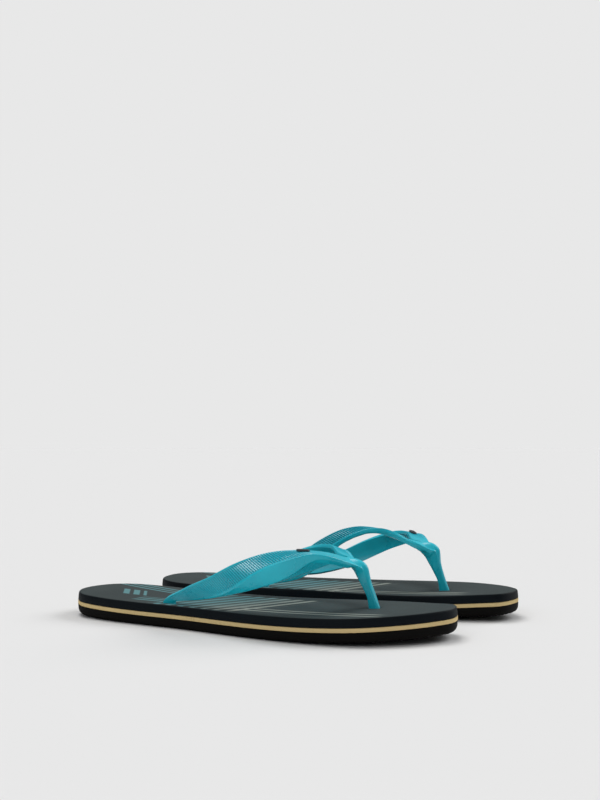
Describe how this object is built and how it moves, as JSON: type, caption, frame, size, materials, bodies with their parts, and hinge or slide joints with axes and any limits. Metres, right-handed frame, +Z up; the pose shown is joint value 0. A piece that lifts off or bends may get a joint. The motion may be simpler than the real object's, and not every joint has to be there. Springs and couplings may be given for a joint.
{
  "type": "pair of flip flops",
  "caption": "Pair of thong sandals: flat sole laminated from three foam layers, moulded Y strap with toe post anchored through the sole, small badge on the outer arm.",
  "frame": {"origin": "middle of the pair's box, on the floor", "axes": "+X towards the toes, +Y from the right sandal to the left one, +Z up"},
  "size_m": [0.2994, 0.2104, 0.0632],
  "materials": {
    "black_foam_rubber": "matte",
    "beige_foam": "matte",
    "navy_foam": "satin",
    "turquoise_plastic": "satin",
    "dark_metal": "satin"
  },
  "bodies": {
    "right_sandal": {"right_outsole": "black_foam_rubber", "right_midsole": "beige_foam", "right_footbed": "navy_foam", "right_strap": "turquoise_plastic", "right_badge": "dark_metal"},
    "left_sandal": {"left_outsole": "black_foam_rubber", "left_midsole": "beige_foam", "left_footbed": "navy_foam", "left_strap": "turquoise_plastic", "left_badge": "dark_metal"}
  },
  "joints": [
    {"name": "left_sandal_lift", "type": "slide", "parent": "right_sandal", "child": "left_sandal", "axis": [0, 0, 1], "range_m": [0, 0.08]}
  ]
}
